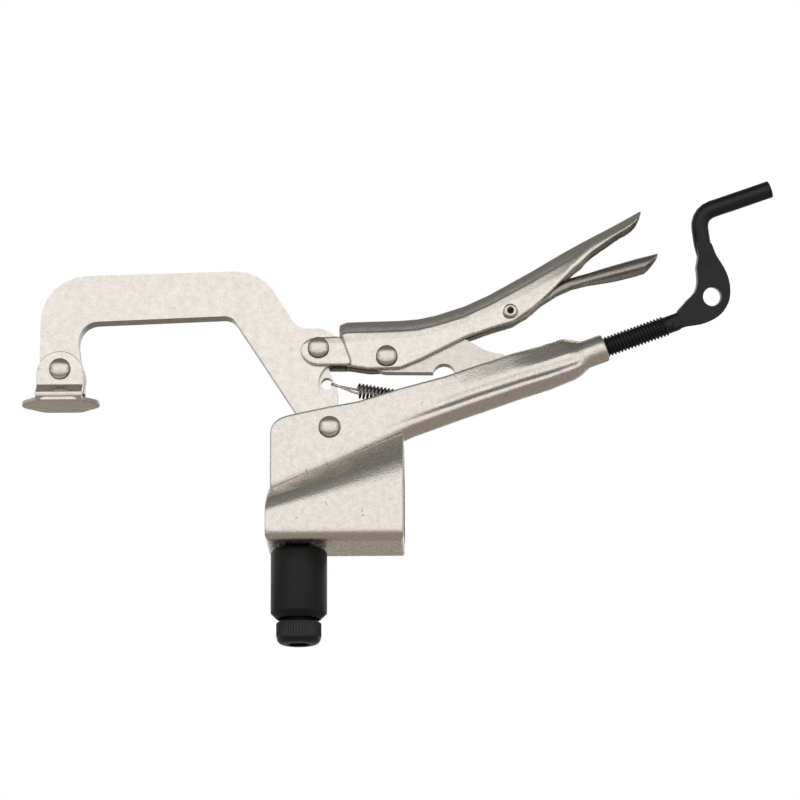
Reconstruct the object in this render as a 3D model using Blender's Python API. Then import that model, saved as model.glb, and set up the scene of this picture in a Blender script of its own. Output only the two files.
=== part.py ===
# Locking pliers clamp for a perforated welding table, held in a 16 mm hole by a screwed sleeve.
# Row frame: origin on the sleeve's axis at the bracket's underside, +Z up, +X towards the crank.
# The linkage lies in the XZ plane, and every pivot's axis runs along Y. Sizes are in millimetres.
from math import cos, pi, radians, sin, tan

import bmesh
import bpy
from mathutils import Matrix, Vector

millimetre = 0.001

# Fits
seat_gap = 0.3          # between faces that touch
side_gap = 0.3          # between plates that slide on each other
bore_gap = 0.2          # radial, round shanks and the screw

# Sheet and plate stock
jaw_thickness = 6.0
link_thickness = 4.0
handle_wall = 1.8
lever_wall = 1.5
release_wall = 1.1
pad_wall = 1.6
bracket_wall = 2.5

# Pivots in the XZ plane
main_pivot = (8.8, 34.3)
jaw_lever_pivot = (5.6, 57.5)
link_pivot = (25.1, 55.2)
release_pivot = (60.5, 68.1)
pad_pivot = (-68.2, 51.8)

# Rivets
rivet_shank_radius = 2.3
rivet_head_radius = 3.05
rivet_head_height = 1.4
tube_rivet_radius = 1.5
tube_rivet_bore = 0.85
tube_rivet_flange_radius = 2.05
tube_rivet_flange_height = 0.7

# Table fixing
sleeve_radius = 8.0
sleeve_length = 20.0
sleeve_top_chamfer = 1.0
sleeve_bottom_chamfer = 1.8
fixing_screw_radius = 4.0
fixing_screw_beyond_nut = 3.2
fixing_head_radius = 6.4
fixing_head_height = 6.9
fixing_head_round = 1.6
hex_key_size = 6.0
hex_key_depth = 4.0
nut_width = 13.0
nut_height = 6.5
washer_radius = 8.0
washer_height = 1.6

# Bracket, a folded trough open at both ends
bracket_back_x = -8.5
bracket_back_lean = 0.6       # how far the foot stands out behind the top
bracket_front_x = 29.9
bracket_width = 29.0
bracket_bend_radius = 3.1
bracket_flare_radius = 4.5
bracket_corner_radius = 1.6
bracket_belly = 0.1           # how far each side stands out half way along
bracket_tuck = 2.8            # how far the flare would reach into the handle, where it's cut to fit
bracket_top_at_back = 16.6
bracket_top_at_front = 33.2
bracket_flare_at_back = 5.5
bracket_flare_at_front = 10.0

# Fixed handle and adjusting screw
screw_axis_angle = radians(19.8)
screw_axis_height = 26.55     # where the screw's axis crosses the sleeve's axis
screw_radius = 2.9
collar_radius = 4.0
collar_start = 87.0           # along the screw's axis
collar_end = 93.2
handle_back_x = -8.2
handle_corner_radius = 5.0
handle_side_bulge = 0.35
groove_depth = 0.5
spring_tab_x = 43.5
spring_tab_width = 2.6

# Toggle
link_tail_x = 58.7
link_tail_radius = 3.0
toggle_gap = 3.4              # tail of the link to the tip of the screw
link_boss_radius = 4.3

# Jaw
jaw_nose_radius = 5.6
jaw_nose_drop = 7.3           # from the pad's pivot to the end of the nose
jaw_boss_radius = 6.2
spring_hole = (8.0, 47.7)
spring_hole_radius = 1.7
jaw_recess_radius = 7.1
jaw_recess_centre = (12.6, 47.2)
jaw_web_thickness = 3.0

# Swivel pad
pad_radius = 11.25
pad_half_depth = 8.6
pad_flat_half = 5.4           # half the straight edge under each ear
pad_end_half = 1.6            # half the blunt end of the base
pad_corner_radius = 3.5
pad_nose_gap = 1.1            # the jaw's nose to the pad's floor
pad_ear_half_width = 6.65
pad_ear_drop = 1.4            # centre of the ear's round end, below the pivot
pad_bend_radius = 2.3
pad_joggle_rise = 2.6         # above the underside
pad_joggle_height = 2.7

# Lever handle and release lever
ear_radius = 5.1
ear_overlap = 1.2             # of the ear on the channel
release_side_gap = 0.35
channel_end_reach = 12.0      # of the cutters that trim a channel's end

# Spring
spring_radius = 2.25          # outer
wire_radius = 0.33
spring_pitch = 1.06
spring_turns = 20
spring_slope = radians(-10.0)
spring_start_x = 16.8

# Crank end of the adjusting screw
crank_radius = 2.5
eye_thickness = 4.6
eye_hole = (126.8, 3.4)       # along the screw's axis, and above it
eye_hole_radius = 2.7
thread_end = 107.4            # along the screw's axis
crank_neck_end = 115.2
screw_chamfer = 0.7
crank_turn = radians(13)      # the flat of the eye is turned down towards the front

jaw_half = jaw_thickness / 2
handle_inner = jaw_half + side_gap
handle_outer = handle_inner + handle_wall
lever_ear_outer = handle_inner + lever_wall
lever_inner = link_thickness / 2 + side_gap
lever_outer = lever_inner + lever_wall
release_outer = lever_inner - release_side_gap
pad_ear_outer = jaw_half + side_gap + pad_wall
pad_underside = pad_pivot[1] - jaw_nose_drop - pad_nose_gap - pad_wall
pad_ear_centre = pad_pivot[1] - pad_ear_drop


def clear_scene():
    for found in list(bpy.data.objects):
        bpy.data.objects.remove(found, do_unlink=True)


def finish_material(name, colour, roughness, metallic=1.0):
    made = bpy.data.materials.get(name) or bpy.data.materials.new(name)
    made.use_nodes = True
    shader = made.node_tree.nodes["Principled BSDF"]
    shader.inputs["Base Color"].default_value = (*colour, 1.0)
    shader.inputs["Roughness"].default_value = roughness
    shader.inputs["Metallic"].default_value = metallic
    return made


def nickel(name):
    return finish_material(name + "_nickel", (0.78, 0.75, 0.71), 0.38)


def black_oxide(name):
    return finish_material(name + "_black_oxide", (0.035, 0.034, 0.034), 0.45, 0.6)


def object_from(name, mesh_builder, material, pivot=(0.0, 0.0)):
    """The object's origin lies on its pivot, and its mesh is moved the other way."""
    mesh_builder.transform(Matrix.Translation((-pivot[0], 0, -pivot[1])))
    mesh_builder.transform(Matrix.Scale(millimetre, 4))
    bmesh.ops.recalc_face_normals(mesh_builder, faces=mesh_builder.faces)
    mesh = bpy.data.meshes.new(name)
    mesh_builder.to_mesh(mesh)
    mesh_builder.free()
    mesh.shade_smooth()
    mesh.set_sharp_from_angle(angle=radians(35))
    made = bpy.data.objects.new(name, mesh)
    bpy.context.scene.collection.objects.link(made)
    made.location = (pivot[0] * millimetre, 0, pivot[1] * millimetre)
    if material:
        mesh.materials.append(material)
    return made


def rounded(corners, step=radians(15), arcs_each=0):
    """An outline through corners (a, b, radius), each rounded by an arc of its radius."""
    points = []
    count = len(corners)
    for index, (a, b, radius) in enumerate(corners):
        here = Vector((a, b))
        before = Vector(corners[index - 1][:2]) - here
        after = Vector(corners[(index + 1) % count][:2]) - here
        turn = pi - before.angle(after)
        if radius <= 0 or turn < radians(2):
            points.append(here)
            continue
        reach = radius * tan(turn / 2)
        centre_line = (before.normalized() + after.normalized()).normalized()
        centre = here + centre_line * (radius / cos(turn / 2))
        first = here + before.normalized() * reach - centre
        sign = 1 if before.cross(after) < 0 else -1
        arcs = arcs_each or max(1, round(turn / step))
        for part in range(arcs + 1):
            angle = sign * turn * part / arcs
            spun = Vector((first.x * cos(angle) - first.y * sin(angle),
                           first.x * sin(angle) + first.y * cos(angle)))
            points.append(centre + spun)
    return points


def prism(outline, low, high):
    """A plate in the XZ plane between two values of Y."""
    made = bmesh.new()
    ring = [made.verts.new((point[0], low, point[1])) for point in outline]
    face = made.faces.new(ring)
    grown = bmesh.ops.extrude_face_region(made, geom=[face])
    moved = [item for item in grown["geom"] if isinstance(item, bmesh.types.BMVert)]
    bmesh.ops.translate(made, verts=moved, vec=(0, high - low, 0))
    return made


def lathe(profile, steps, base=(0, 0, 0), direction=(0, 0, 1)):
    """A closed turned body through (radius, height), with both ends on the axis or a closed ring."""
    made = bmesh.new()
    on_axis = profile[0][0] == 0
    rings = []
    for radius, height in profile:
        if radius == 0:
            rings.append([made.verts.new((0, 0, height))])
            continue
        around = [2 * pi * k / steps for k in range(steps)]
        rings.append([made.verts.new((radius * cos(a), radius * sin(a), height)) for a in around])
    pairs = list(zip(rings, rings[1:]))
    if not on_axis:
        pairs.append((rings[-1], rings[0]))
    for low, high in pairs:
        for k in range(steps):
            after = (k + 1) % steps
            if len(low) == 1:
                made.faces.new((low[0], high[after], high[k]))
            elif len(high) == 1:
                made.faces.new((low[k], low[after], high[0]))
            else:
                made.faces.new((low[k], low[after], high[after], high[k]))
    turn = Vector((0, 0, 1)).rotation_difference(Vector(direction)).to_matrix().to_4x4()
    made.transform(Matrix.Translation(base) @ turn)
    return made


def drum(radius, low, high, steps=24):
    return [(0, low), (radius, low), (radius, high), (0, high)]


def pin_cutter(name, centre, radius, half_length=30, steps=24, pivot=(0.0, 0.0)):
    builder = lathe(drum(radius, -half_length, half_length), steps, (centre[0], 0, centre[1]), (0, 1, 0))
    return hide(object_from(name, builder, None, pivot))


def hide(cutter):
    cutter.hide_render = True
    cutter.display_type = "WIRE"
    return cutter


def combine(target, other, operation):
    """An exact Boolean of two objects, kept as a modifier. A helper is hidden from the render."""
    if not other.hide_render:
        hide(other)
    added = target.modifiers.new(operation.lower() + "_" + other.name, "BOOLEAN")
    added.operation = operation
    added.solver = "EXACT"
    added.object = other
    return target


def smooth_line(points, samples):
    """Evenly numbered points on a smooth curve through the given ones."""
    found = []
    spans = len(points) - 1
    for index in range(samples):
        place = index * spans / (samples - 1)
        span = min(int(place), spans - 1)
        t = place - span
        p0 = Vector(points[max(span - 1, 0)])
        p1, p2 = Vector(points[span]), Vector(points[span + 1])
        p3 = Vector(points[min(span + 2, spans)])
        found.append(0.5 * (2 * p1 + (p2 - p0) * t + (2 * p0 - 5 * p1 + 4 * p2 - p3) * t * t
                            + (3 * p1 - p0 - 3 * p2 + p3) * t ** 3))
    return found


def offset_inwards(line, wall):
    """The same number of points, with mitred corners, one wall to the left of the line."""
    edges = [(second - first).normalized() for first, second in zip(line, line[1:])]
    edges = [edges[0]] + edges + [edges[-1]]
    moved = []
    for point, arriving, leaving in zip(line, edges, edges[1:]):
        across = (Vector((-arriving.y, arriving.x)) + Vector((-leaving.y, leaving.x))).normalized()
        lean = across.dot(Vector((-arriving.y, arriving.x)))
        moved.append(point + across * (wall / lean))
    return moved


def sheet_section(half_line, wall):
    """A closed section from a half line that starts on the mid-plane and ends at the sheet's edge."""
    inner = offset_inwards(half_line, wall)
    inner[0].x = 0
    outer_ring = [(-p.x, p.y) for p in reversed(half_line)] + [(p.x, p.y) for p in half_line[1:]]
    inner_ring = [(p.x, p.y) for p in reversed(inner)] + [(-p.x, p.y) for p in inner[1:]]
    return outer_ring + inner_ring


def loft(stations, sheet=True):
    """A body through closed rings of 3-D points, all with the same number of points.
    A sheet's ends are closed strip by strip, from its outside to its inside."""
    made = bmesh.new()
    rings = [[made.verts.new(point) for point in ring] for ring in stations]
    count = len(rings[0])
    for first, second in zip(rings, rings[1:]):
        for k in range(count):
            after = (k + 1) % count
            made.faces.new((first[k], first[after], second[after], second[k]))
    for ring in (rings[0], rings[-1]):
        if not sheet:
            made.faces.new(ring)
            continue
        for k in range(count // 2 - 1):
            made.faces.new((ring[k], ring[k + 1], ring[count - 2 - k], ring[count - 1 - k]))
    bmesh.ops.triangulate(made, faces=made.faces)
    return made


def axis_point(distance):
    """A point of the screw's axis, at a distance from the sleeve's axis."""
    return distance * cos(screw_axis_angle), screw_axis_height + distance * sin(screw_axis_angle)


def axis_distance(x):
    return x / cos(screw_axis_angle)


# Fixed handle: one sheet folded to a channel, drawn in along its length and swaged to a collar

# distance along the axis, tilt, bottom, bulge half width, groove height, groove half width,
# upper half width, top height, top half width, wall
def handle_stations():
    wide = handle_outer
    bulge = handle_outer + handle_side_bulge
    narrow = handle_outer - groove_depth
    mouth = handle_inner - 0.5 + handle_wall
    flat = [
        (axis_distance(handle_back_x), 0.0, -9.4, wide, -3.0, wide, wide, 13.3, wide, handle_wall),
        (axis_distance(-1.0), 0.2, -8.9, wide, -2.6, wide, wide, 12.0, wide, handle_wall),
        (axis_distance(main_pivot[0] + 1.0), 0.5, -8.2, wide, -2.0, wide, wide, 10.3, wide, handle_wall),
        (21.3, 1.0, -6.6, wide, -1.4, wide, wide, 8.6, wide, handle_wall),
        (33.0, 1.0, -5.5, bulge, -0.8, wide, wide, 8.1, wide, handle_wall),
        (47.5, 1.0, -5.5, bulge, -0.6, narrow, wide, 7.0, wide, handle_wall),
    ]
    drawn = [
        (53.0, 1.0, -5.6, bulge, -0.6, narrow, wide, 7.1, mouth + 0.15, handle_wall),
        (66.5, 1.0, -5.7, bulge, -1.1, narrow, wide, 6.9, mouth - 0.2, handle_wall),
        (74.5, 1.0, -6.0, bulge, -1.6, narrow, wide - 0.1, 6.6, 2.6, handle_wall - 0.1),
        (82.5, 1.0, -5.6, bulge - 0.3, -1.8, narrow, wide - 0.1, 6.4, 1.9, handle_wall - 0.4),
        (84.6, 1.0, -5.0, wide - 0.4, -1.5, wide - 0.6, wide - 0.5, 5.3, 1.6, handle_wall - 0.7),
    ]
    return flat + drawn


def handle_half_line(bottom, bulge, groove, groove_half, upper, top, top_half):
    rise = groove - bottom
    height = top - groove
    return [
        (0, bottom),
        (bulge * 0.53, bottom + rise * 0.07),
        (bulge * 0.90, bottom + rise * 0.34),
        (bulge, bottom + rise * 0.66),
        (groove_half, groove),
        (upper, groove + height * 0.32),
        (0.45 * upper + 0.55 * top_half, groove + height * 0.72),
        (top_half, top),
    ]


def handle_envelope(grow):
    """The front of the handle as one solid without its hollow, larger all round."""
    stations = handle_stations()[:7]
    stations.insert(0, (stations[0][0] - 4, *stations[0][1:]))
    rings = []
    for distance, tilt, bottom, bulge, groove, groove_half, upper, top, top_half, _ in stations:
        line = smooth_line(handle_half_line(bottom, bulge, groove, groove_half, upper, top, top_half), 19)
        line = offset_inwards(line, -grow)
        line[0].x = 0
        section = [(-p.x, p.y) for p in reversed(line)] + [(p.x, p.y) for p in line[1:]]
        rings.append(place_section(distance, tilt, section))
    return loft(rings, sheet=False)


def collar_half_line(radius, samples):
    seam = 0.15
    last = pi - seam / radius
    return [Vector((radius * sin(last * k / (samples - 1)), -radius * cos(last * k / (samples - 1))))
            for k in range(samples)]


def handle_body():
    samples = 19
    rings = []
    for distance, tilt, bottom, bulge, groove, groove_half, upper, top, top_half, wall in handle_stations():
        half_line = handle_half_line(bottom, bulge, groove, groove_half, upper, top, top_half)
        rings.append(place_section(distance, tilt, sheet_section(smooth_line(half_line, samples), wall)))
    collar_wall = collar_radius - screw_radius - bore_gap
    for distance in (collar_start, collar_end - 0.5, collar_end):
        radius = collar_radius - (0.3 if distance == collar_end else 0)
        wall = collar_wall - (collar_radius - radius)
        section = sheet_section(collar_half_line(radius, samples), wall)
        rings.append(place_section(distance, 1.0, section))
    return loft(rings)


def place_section(distance, tilt, section):
    x, z = axis_point(distance)
    lean = screw_axis_angle * tilt
    return [(x - height * sin(lean), across, z + height * cos(lean)) for across, height in section]


def fixed_handle():
    body = object_from("fixed_handle", handle_body(), nickel("handle"))
    top = axis_point(axis_distance(handle_back_x))[1] + 13.3
    reach = handle_corner_radius
    corner = rounded([(handle_back_x - 6, top + 6, 0), (handle_back_x - 6, top - 3 * reach, 0),
                      (handle_back_x, top - 3 * reach, 0), (handle_back_x, top - 0.6, reach),
                      (handle_back_x + 3 * reach, top + 3.9, 0), (handle_back_x + 3 * reach, top + 6, 0)])
    cutter = object_from("handle_corner_cutter", prism(corner, -20, 20), None)
    combine(body, hide(cutter), "DIFFERENCE")
    combine(body, pin_cutter("handle_pivot_hole", main_pivot, rivet_shank_radius + bore_gap), "DIFFERENCE")
    combine(body, object_from("spring_tab", spring_tab(), None), "UNION")
    return body


def spring_tab():
    """A tongue on the channel's floor that the spring hooks on to."""
    floor = axis_point(axis_distance(spring_tab_x))[1] - 4.9
    top = spring_anchor()[1] + 1.4
    half = spring_tab_width / 2
    outline = rounded([(spring_tab_x, floor, 0), (spring_tab_x + handle_wall, floor, 0),
                       (spring_tab_x + handle_wall, top, 0.6), (spring_tab_x, top, 0.6)])
    return prism(outline, -half, half)


# Bracket: one sheet folded to a trough, flared in to the handle's sides along a sloping edge

def bracket_half_line(x):
    share = (x - bracket_back_x) / (bracket_front_x - bracket_back_x)
    top = bracket_top_at_back + share * (bracket_top_at_front - bracket_top_at_back)
    flare = bracket_flare_at_back + share * (bracket_flare_at_front - bracket_flare_at_back)
    half = bracket_width / 2 - bracket_belly * (2 * share - 1) ** 2
    hug = handle_outer - bracket_tuck + bracket_wall
    return rounded([(0, 0, 0), (half, 0, bracket_bend_radius), (half, top - flare, bracket_flare_radius),
                    (hug, top, 0)], arcs_each=5)


def corner_cutter(name, corner, radius):
    """What lies outside a round upper corner of the XZ plane."""
    centre = Vector(corner) - Vector((radius, radius))
    outline = [centre + Vector((cos(a), sin(a))) * radius * 1.02 for a in (radians(k * 18) for k in range(6))]
    beyond = 2 * radius
    outline += [centre + Vector(shift) for shift in ((0, beyond), (beyond, beyond), (beyond, 0))]
    return hide(object_from(name, prism(outline, -20, 20), None))


def mounting_bracket():
    rings = []
    count = 5
    for k in range(count):
        x = bracket_back_x + (bracket_front_x - bracket_back_x) * k / (count - 1)
        section = [point for point in sheet_section(bracket_half_line(x), bracket_wall) if point[0]]
        lean = bracket_back_lean if k == 0 else 0.0
        rings.append([(x - lean * min(1.0, max(0.0, (bracket_top_at_back - height) / 6)), across, height)
                      for across, height in section])
    body = object_from("mounting_bracket", loft(rings), nickel("bracket"))
    hole = lathe(drum(fixing_screw_radius + bore_gap + 0.2, -5, 5), 32)
    hole.transform(Matrix.Rotation(radians(4), 4, "Z"))
    combine(body, hide(object_from("bracket_screw_hole", hole, None)), "DIFFERENCE")
    fit = object_from("handle_envelope", handle_envelope(seat_gap), None)
    combine(body, hide(fit), "DIFFERENCE")
    corner = (bracket_front_x, bracket_top_at_front - seat_gap)
    combine(body, corner_cutter("bracket_top_corner", corner, bracket_corner_radius), "DIFFERENCE")
    return body


# Table fixing: sleeve, cap screw, washer and nut

def locating_sleeve():
    top = -seat_gap
    bottom = top - sleeve_length
    bore = fixing_screw_radius + bore_gap + 0.2
    profile = [
        (bore, bottom), (sleeve_radius - sleeve_bottom_chamfer, bottom),
        (sleeve_radius, bottom + sleeve_bottom_chamfer), (sleeve_radius, top - sleeve_top_chamfer),
        (sleeve_radius - sleeve_top_chamfer, top), (bore, top),
    ]
    return object_from("locating_sleeve", lathe(profile, 48), black_oxide("sleeve"))


def fixing_head_top():
    return -seat_gap - sleeve_length - seat_gap


def cap_screw():
    head_top = fixing_head_top()
    head_bottom = head_top - fixing_head_height
    tip = nut_seat() + nut_height + fixing_screw_beyond_nut
    soft = fixing_head_round
    profile = [(0, head_bottom), (fixing_head_radius - soft, head_bottom)]
    profile += [(fixing_head_radius - soft + soft * sin(a), head_bottom + soft - soft * cos(a))
                for a in (radians(30), radians(60), radians(90))]
    profile += [(fixing_head_radius, head_top - 0.4), (fixing_head_radius - 0.4, head_top),
                (fixing_screw_radius, head_top), (fixing_screw_radius, tip - 0.8),
                (fixing_screw_radius - 0.8, tip), (0, tip)]
    body = object_from("cap_screw", lathe(profile, 36), black_oxide("cap_screw"))
    corner = hex_key_size / 2 / cos(radians(30))
    socket = lathe(drum(corner, head_bottom - 1, head_bottom + hex_key_depth), 6)
    combine(body, hide(object_from("hex_socket", socket, None)), "DIFFERENCE")
    return body


def washer():
    low = bracket_wall + seat_gap
    bore = fixing_screw_radius + bore_gap + 0.2
    high = low + washer_height
    profile = [(bore, low), (washer_radius, low), (washer_radius, high), (bore, high)]
    return object_from("washer", lathe(profile, 32), nickel("washer"))


def nut_seat():
    return bracket_wall + washer_height + 2 * seat_gap


def hex_nut():
    low = nut_seat()
    corner = nut_width / 2 / cos(radians(30))
    bore = fixing_screw_radius + bore_gap
    chamfer = 0.8
    body = object_from("hex_nut", lathe(drum(corner, low, low + nut_height), 6), nickel("nut"))
    rounding = lathe([(0, low), (corner - chamfer, low), (corner, low + chamfer),
                      (corner, low + nut_height - chamfer), (corner - chamfer, low + nut_height),
                      (0, low + nut_height)], 36)
    combine(body, hide(object_from("nut_rounding", rounding, None)), "INTERSECT")
    hole = lathe(drum(bore, low - 2, low + nut_height + 2), 32)
    combine(body, hide(object_from("nut_bore", hole, None)), "DIFFERENCE")
    return body


# Jaw: a flat C plate with a stepped recess for the spring's hook

def jaw_outline():
    px, pz = main_pivot
    lx, lz = jaw_lever_pivot
    nx, nz = pad_pivot
    return rounded([
        (nx - 6.1, nz - jaw_nose_drop, jaw_nose_radius), (nx - 5.8, nz + 27.5, 13.5), (-11.2, 80.8, 13.0),
        (lx - 6.0, lz + 6.0, 5.0), (lx + jaw_boss_radius, lz + jaw_boss_radius, 5.9),
        (lx + 5.6, lz - 1.4, 3.0), (8.2, 52.3, 2.5), (11.2, 46.0, 6.0), (10.8, 39.5, 3.0),
        (px + jaw_boss_radius, pz + 1.0, 3.0), (px + jaw_boss_radius - 0.5, pz - jaw_boss_radius, 5.6),
        (px - jaw_boss_radius + 0.6, pz - jaw_boss_radius, 5.6), (px - 6.0, pz - 0.8, 3.0),
        (-19.2, 67.5, 4.0), (-63.0, 65.9, 5.6), (-63.2, 57.0, 12.0), (nx + 7.0, nz - 1.0, 4.0),
        (nx + 6.6, nz - jaw_nose_drop, jaw_nose_radius),
    ])


def jaw_arm():
    body = object_from("jaw_arm", prism(jaw_outline(), -jaw_half, jaw_half), nickel("jaw"), main_pivot)
    for name, centre in (("jaw_main_hole", main_pivot), ("jaw_lever_hole", jaw_lever_pivot),
                         ("jaw_pad_hole", pad_pivot)):
        combine(body, pin_cutter(name, centre, rivet_shank_radius + bore_gap), "DIFFERENCE")
    combine(body, pin_cutter("jaw_spring_hole", spring_hole, spring_hole_radius), "DIFFERENCE")
    for name, low, high in (("jaw_recess_left", -jaw_half - 1, -jaw_web_thickness / 2),
                            ("jaw_recess_right", jaw_web_thickness / 2, jaw_half + 1)):
        pocket = lathe(drum(jaw_recess_radius, low, high), 40,
                       (jaw_recess_centre[0], 0, jaw_recess_centre[1]), (0, 1, 0))
        combine(body, hide(object_from(name, pocket, None)), "DIFFERENCE")
    return body


# Swivel pad: a disc with two joggled ears, folded from one sheet

def pad_profile():
    """The folded strip's section in the YZ plane, rounded on the outside of its bend."""
    low, out, ear, bend = pad_underside, pad_half_depth, pad_ear_outer, pad_bend_radius
    joggle = low + pad_joggle_rise
    upper = [Vector((out, joggle)), Vector((ear, joggle + pad_joggle_height)),
             Vector((ear, pad_ear_centre + pad_ear_half_width + 1))]
    arc = [Vector((out - bend + bend * sin(a), low + bend - bend * cos(a)))
           for a in (radians(k * 22.5) for k in range(5))]
    outer = [Vector((0, low))] + arc + upper
    inner = offset_inwards([Vector((0, low)), Vector((out, low))] + upper, pad_wall)
    inner[0].x = 0
    outer_ring = [(-p.x, p.y) for p in reversed(outer)] + [(p.x, p.y) for p in outer[1:]]
    inner_ring = [(p.x, p.y) for p in reversed(inner)] + [(-p.x, p.y) for p in inner[1:]]
    return outer_ring + inner_ring


def swivel_pad():
    half = pad_ear_half_width
    px, pz = pad_pivot
    rings = [[(x, across, height) for across, height in pad_profile()]
             for x in (px - half - 1, px + half + 1)]
    body = object_from("swivel_pad", loft(rings, sheet=False), nickel("pad"), pad_pivot)
    centre = pad_ear_centre
    ears = rounded([(px - half, pad_underside - 1, 0), (px + half, pad_underside - 1, 0),
                    (px + half, centre + half, half - 0.01), (px - half, centre + half, half - 0.01)],
                   radians(10))
    combine(body, hide(object_from("pad_ear_outline", prism(ears, -20, 20), None)), "INTERSECT")
    combine(body, object_from("pad_disc", pad_disc(), None), "UNION")
    combine(body, pin_cutter("pad_rivet_hole", pad_pivot, rivet_shank_radius + bore_gap), "DIFFERENCE")
    return body


def pad_disc():
    """The blunt oval base, straight where the ears are folded up."""
    depth = pad_half_depth - 0.4
    quarter = [(pad_radius, -pad_end_half), (pad_radius, pad_end_half), (pad_flat_half, depth)]
    corners = quarter + [(-pad_flat_half, depth), (-pad_radius, pad_end_half), (-pad_radius, -pad_end_half),
                         (-pad_flat_half, -depth), (pad_flat_half, -depth)]
    outline = [(pad_pivot[0] + point[0], point[1])
               for point in rounded([(*corner, pad_corner_radius) for corner in corners], arcs_each=4)]
    steps = len(outline)
    made = bmesh.new()
    low, high = pad_underside, pad_underside + pad_wall
    soft = 0.35
    rings = []
    for height, shrink in ((low, soft), (low + soft, 0), (high - soft, 0), (high, soft)):
        share = 1 - shrink / pad_radius
        rings.append([made.verts.new((pad_pivot[0] + (x - pad_pivot[0]) * share, y * share, height))
                      for x, y in outline])
    for first, second in zip(rings, rings[1:]):
        for k in range(steps):
            after = (k + 1) % steps
            made.faces.new((first[k], first[after], second[after], second[k]))
    made.faces.new(rings[0])
    made.faces.new(rings[-1])
    return made


# Rivets

def rivet(name, centre, outer_half):
    """A solid rivet across two outer faces, with a domed head on each side."""
    seat = outer_half + seat_gap
    shank, head, height = rivet_shank_radius, rivet_head_radius, rivet_head_height
    dome = [(head, 0), (head, height * 0.35), (head * 0.93, height * 0.68), (head * 0.72, height * 0.9),
            (head * 0.4, height)]
    profile = [(0, -seat - height)]
    profile += [(r, -seat - h) for r, h in reversed(dome)]
    profile += [(shank, -seat), (shank, seat)]
    profile += [(r, seat + h) for r, h in dome]
    profile += [(0, seat + height)]
    builder = lathe(profile, 28, (centre[0], 0, centre[1]), (0, 1, 0))
    return object_from(name, builder, nickel("rivet"), centre)


def lever_half_at(x):
    """The lever handle's outer half width, read from its stations."""
    for first, second in zip(lever_line, lever_line[1:]):
        if first[0] <= x <= second[0]:
            share = (x - first[0]) / (second[0] - first[0])
            return lever_outer + first[3] + share * (second[3] - first[3])
    return lever_outer


def tube_rivet():
    seat = lever_half_at(release_pivot[0]) + seat_gap
    bore, shank = tube_rivet_bore, tube_rivet_radius
    flange, height = tube_rivet_flange_radius, tube_rivet_flange_height
    end = [(shank, 0), (flange, 0), (flange, height * 0.5), (flange * 0.82, height), (bore * 1.35, height),
           (bore, height * 0.4)]
    profile = [(r, seat + h) for r, h in end]
    profile += [(r, -seat - h) for r, h in reversed(end)]
    builder = lathe(profile, 24, (release_pivot[0], 0, release_pivot[1]), (0, 1, 0))
    return object_from("release_rivet", builder, nickel("rivet"), release_pivot)


# Lever handle and release lever: channels that open downwards, with a crowned back

# x, top, bottom, half width beyond the channel's, share of the width that is crowned
lever_line = (
    (10.2, 64.6, 55.0, 0.0, 0.40), (13.5, 66.0, 52.4, 0.0, 0.42), (20.4, 66.2, 51.6, 0.0, 0.45),
    (29.0, 66.4, 51.7, 0.0, 0.48), (34.0, 66.8, 54.0, 0.0, 0.50), (39.2, 67.9, 56.6, 0.05, 0.52),
    (47.3, 70.5, 60.7, 0.1, 0.56), (54.4, 73.8, 63.4, 0.15, 0.62), (61.0, 77.5, 65.2, 0.2, 0.70),
    (67.0, 80.9, 69.1, 0.35, 0.78), (71.3, 83.5, 73.3, 0.5, 0.86), (76.0, 86.3, 78.1, 0.6, 0.92),
    (81.2, 89.2, 83.7, 0.75, 0.95), (84.4, 90.9, 86.7, 0.8, 0.95), (87.6, 92.6, 88.7, 0.85, 0.95),
    (90.8, 94.3, 90.5, 0.85, 0.95), (94.0, 96.1, 92.4, 0.7, 0.95), (97.0, 97.8, 94.4, 0.3, 0.95),
    (99.5, 99.2, 96.0, -0.2, 0.95),
)
release_line = (
    (50.0, 64.4, 62.6, 0.0, 0.72), (54.0, 66.4, 63.4, 0.0, 0.72), (60.5, 70.2, 64.6, 0.05, 0.72),
    (65.0, 72.5, 66.9, 0.1, 0.74), (68.7, 74.5, 70.3, 0.15, 0.76), (73.9, 77.1, 73.7, 0.35, 0.8),
    (78.0, 78.6, 75.6, 0.6, 0.9), (82.7, 79.9, 76.9, 1.05, 0.95), (86.6, 81.1, 77.7, 1.95, 0.95),
    (90.8, 82.3, 78.6, 2.7, 0.95), (97.1, 84.1, 80.2, 2.75, 0.95), (101.0, 85.1, 81.3, 2.3, 0.95),
    (104.0, 85.9, 82.6, 1.6, 0.95),
)
# slanting ends in the XZ plane, from above to below
lever_tip = ((98.2, 101.0), (98.4, 98.0), (97.9, 96.6), (96.6, 94.6), (94.6, 92.5), (93.0, 91.0),
             (93.0, 86.0))
release_tip = ((102.9, 90.0), (103.1, 85.4), (102.6, 84.4), (101.6, 83.3), (100.3, 81.8), (98.7, 80.4),
               (97.0, 79.2), (97.0, 74.0))
lever_front = ((10.9, 68.0), (13.9, 50.0))


def channel(line, half_width, wall):
    """A crowned channel through stations of constant X."""
    rings = []
    for x, top, bottom, wider, crown in line:
        half = half_width + wider
        drop = min(half * crown, (top - bottom) * 0.85)
        arc = [Vector((half - half * crown + half * crown * sin(a), top - drop + drop * cos(a)))
               for a in (radians(k * 15) for k in range(7))]
        down = [Vector((half, top - drop - (top - drop - bottom) * share)) for share in (0.5, 1.0)]
        half_line = [Vector((0, top))] + arc + down
        rings.append([(x, across, height) for across, height in sheet_section(half_line, -wall)])
    return loft(rings)


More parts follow.
